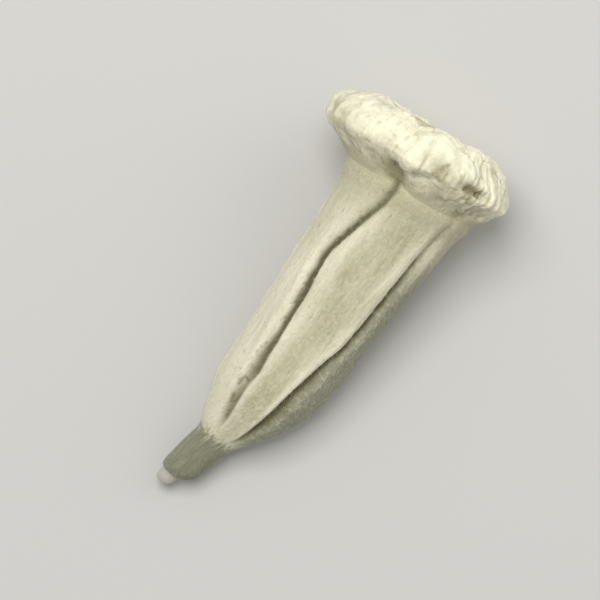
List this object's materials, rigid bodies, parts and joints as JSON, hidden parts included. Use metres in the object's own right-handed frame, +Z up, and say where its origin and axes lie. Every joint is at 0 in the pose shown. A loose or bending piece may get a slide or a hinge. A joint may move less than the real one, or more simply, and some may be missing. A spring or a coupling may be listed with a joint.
{
  "type": "okra pod",
  "caption": "Dried baby okra pod lying on its side, a ribbed tapering capsule with a plain beak at the tip and a swollen, lobed, cut stem end.",
  "frame": {"origin": "middle of the bounding box's underside, on the surface that the pod lies on", "axes": "+X along the pod from the tip to the cut stem end, +Z up; the pod's own axis dips towards the tip"},
  "size_m": [0.0266, 0.0118, 0.0115],
  "materials": {
    "pod_skin": "dry matt plant skin",
    "stem_cap_skin": "dry matt fibrous stem tissue"
  },
  "bodies": {
    "root": {"pod": "pod_skin", "stem_cap": "stem_cap_skin"}
  },
  "joints": []
}
